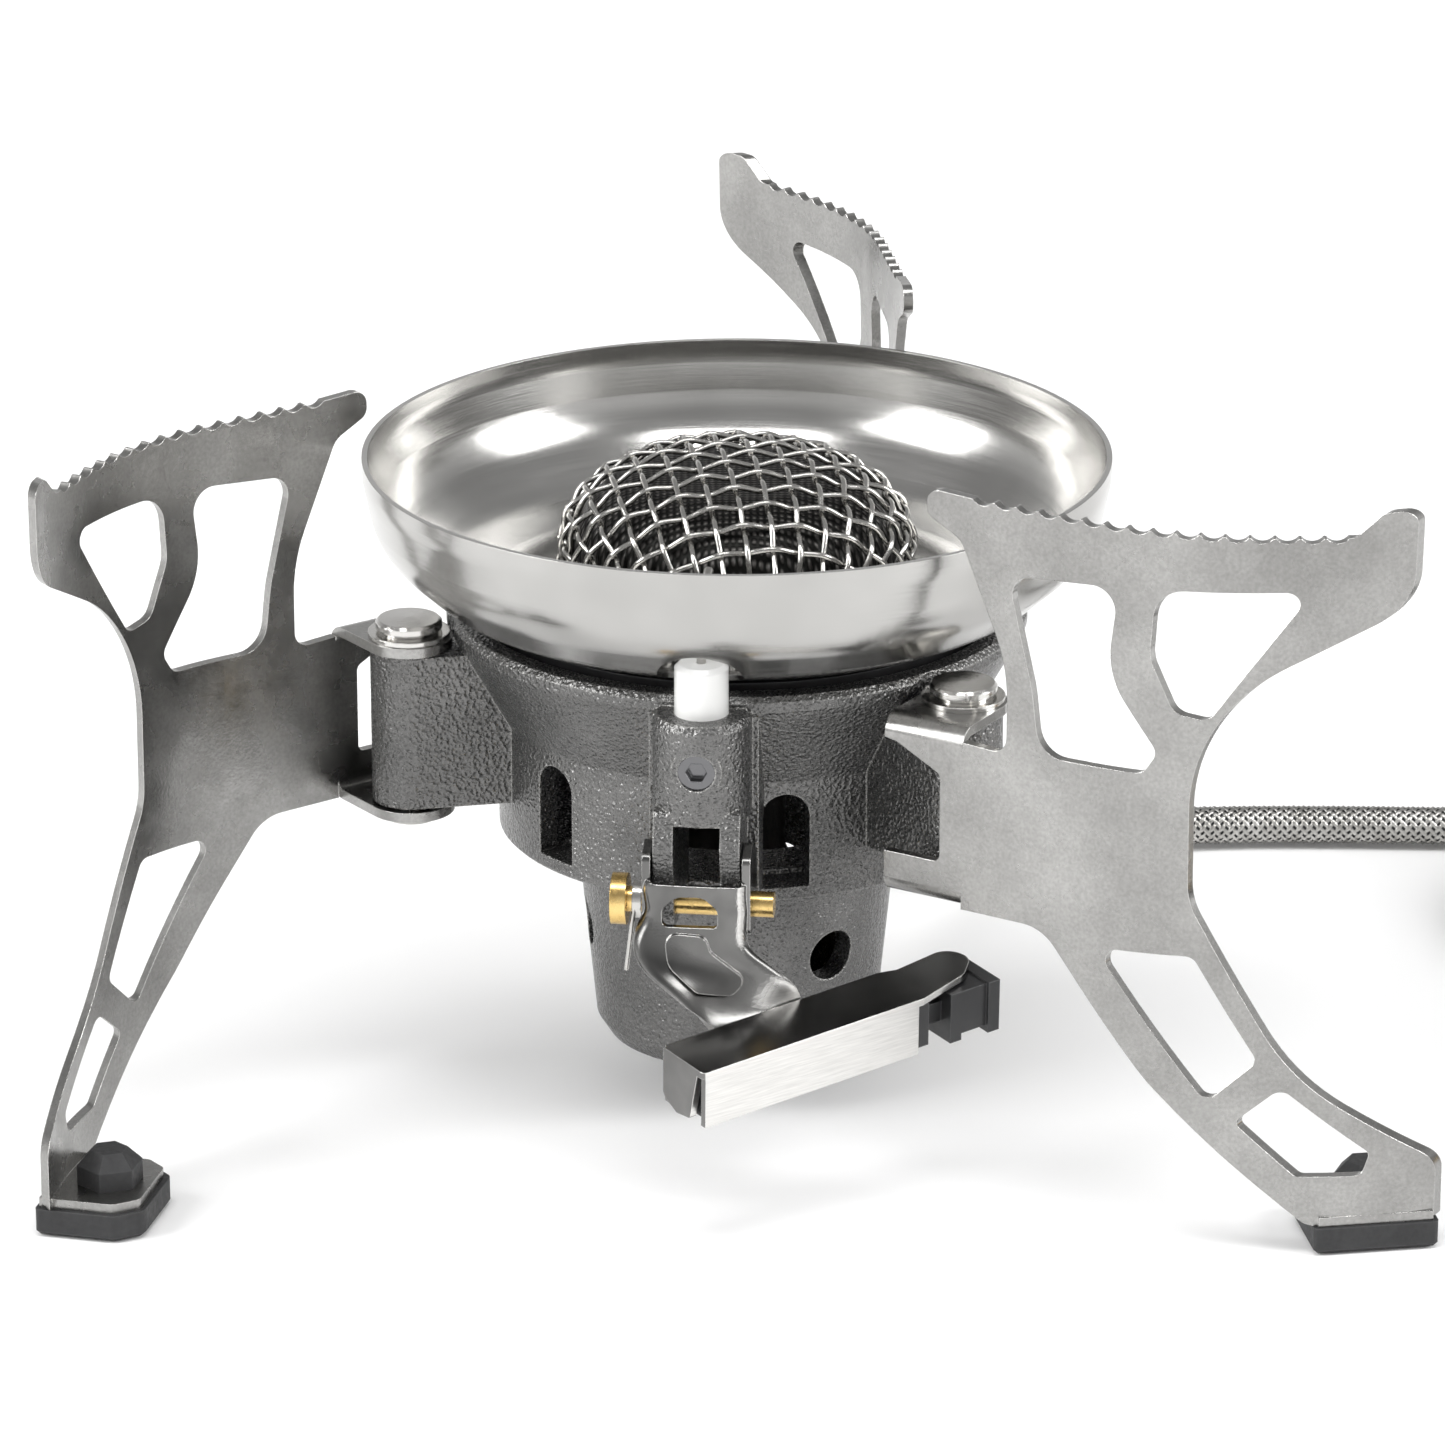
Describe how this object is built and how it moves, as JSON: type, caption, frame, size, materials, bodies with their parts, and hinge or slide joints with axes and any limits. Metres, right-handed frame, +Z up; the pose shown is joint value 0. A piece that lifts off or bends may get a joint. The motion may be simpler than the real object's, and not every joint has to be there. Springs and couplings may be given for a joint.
{
  "type": "canister stove",
  "caption": "Folding gas stove with a mesh burner in a wind bowl, curved swing-out legs, a lever igniter and a braided hose to a canister valve.",
  "frame": {"origin": "on the burner's axis at the level of the feet's undersides", "axes": "+Z up, -Y towards the igniter lever, +X towards the side the hose leaves on"},
  "size_m": [0.2334, 0.1414, 0.0829],
  "materials": {
    "leg_steel": "satin stainless sheet",
    "bowl_steel": "spun stainless, brushed",
    "mesh_steel": "woven stainless wire",
    "gauze_steel": "fine heat-darkened gauze",
    "inner_steel": "plain turned steel",
    "cast_paint": "dark grey grained paint",
    "seat_black": "black painted ring",
    "rivet_steel": "polished",
    "ceramic_white": "glazed white ceramic",
    "screw_steel": "bright zinc",
    "electrode_steel": "drawn wire",
    "brass_parts": "turned brass",
    "lever_steel": "stamped stainless",
    "spring_steel": "spring wire",
    "piezo_plastic": "black moulded plastic",
    "pad_rubber": "black rubber",
    "hose_braid": "braided stainless sleeve",
    "valve_alloy": "anodised grey",
    "seal_rubber": "black seal"
  },
  "bodies": {
    "root": {"burner_casting": "cast_paint", "burner_bowl": "bowl_steel", "bowl_seat_ring": "seat_black", "burner_head": "inner_steel", "burner_ring_nut": "inner_steel", "mixing_tube": "inner_steel", "flame_spreader": "inner_steel", "mesh_cap": "mesh_steel", "inner_gauze": "gauze_steel", "jet_holder": "brass_parts", "gas_jet": "brass_parts", "inlet_fitting": "brass_parts", "stove_ferrule": "rivet_steel", "ceramic_insulator": "ceramic_white", "spark_electrode": "electrode_steel", "grub_screw": "screw_steel", "lever_pin": "brass_parts", "lever_spring": "spring_steel", "hose_lead": "hose_braid", "hose_coil": "hose_braid", "hose_tail": "hose_braid", "valve_ferrule": "rivet_steel", "valve_body": "brass_parts", "valve_collar": "valve_alloy", "valve_oring": "seal_rubber", "depressor_pin": "rivet_steel", "packing_nut": "brass_parts"},
    "igniter_lever": {"lever_bracket": "lever_steel", "piezo_body": "piezo_plastic"},
    "igniter_button": {"piezo_button": "piezo_plastic"},
    "valve_stem": {"valve_spindle": "rivet_steel"},
    "valve_handle": {"wire_handle": "spring_steel"},
    "leg_left": {"leg_left": "leg_steel", "hinge_pin_left": "rivet_steel", "hinge_washer_left": "rivet_steel", "foot_pad_left": "pad_rubber"},
    "leg_right": {"leg_right": "leg_steel", "hinge_pin_right": "rivet_steel", "hinge_washer_right": "rivet_steel", "foot_pad_right": "pad_rubber"},
    "leg_back": {"leg_back": "leg_steel", "hinge_pin_back": "rivet_steel", "hinge_washer_back": "rivet_steel", "foot_pad_back": "pad_rubber"}
  },
  "joints": [
    {"name": "fold_left_leg", "type": "hinge", "parent": "root", "child": "leg_left", "pos_m": [-0.03581, -0.00722, 0.044], "axis": [0, 0, 1], "range_deg": [-6, 70]},
    {"name": "fold_right_leg", "type": "hinge", "parent": "root", "child": "leg_right", "pos_m": [0.02416, -0.0274, 0.044], "axis": [0, 0, 1], "range_deg": [-2, 94]},
    {"name": "fold_back_leg", "type": "hinge", "parent": "root", "child": "leg_back", "pos_m": [0.01165, 0.03462, 0.044], "axis": [0, 0, 1], "range_deg": [-8, 85]},
    {"name": "fold_igniter", "type": "hinge", "parent": "root", "child": "igniter_lever", "pos_m": [-0.00396, -0.03478, 0.034], "axis": [-0.9936, 0.1132, 0], "range_deg": [-32, 6]},
    {"name": "press_button", "type": "slide", "parent": "igniter_lever", "child": "igniter_button", "axis": [-0.8095, -0.5847, -0.053], "range_m": [0, 0.0026], "stiffness_N_per_m": 900},
    {"name": "turn_valve", "type": "hinge", "parent": "root", "child": "valve_stem", "pos_m": [0.146, -0.016, 0.0075], "axis": [0, -1, 0], "range_deg": [-90, 450]},
    {"name": "fold_handle", "type": "hinge", "parent": "valve_stem", "child": "valve_handle", "pos_m": [0.146, -0.022, 0.0075], "axis": [1, 0, 0], "range_deg": [-80, 80]}
  ]
}
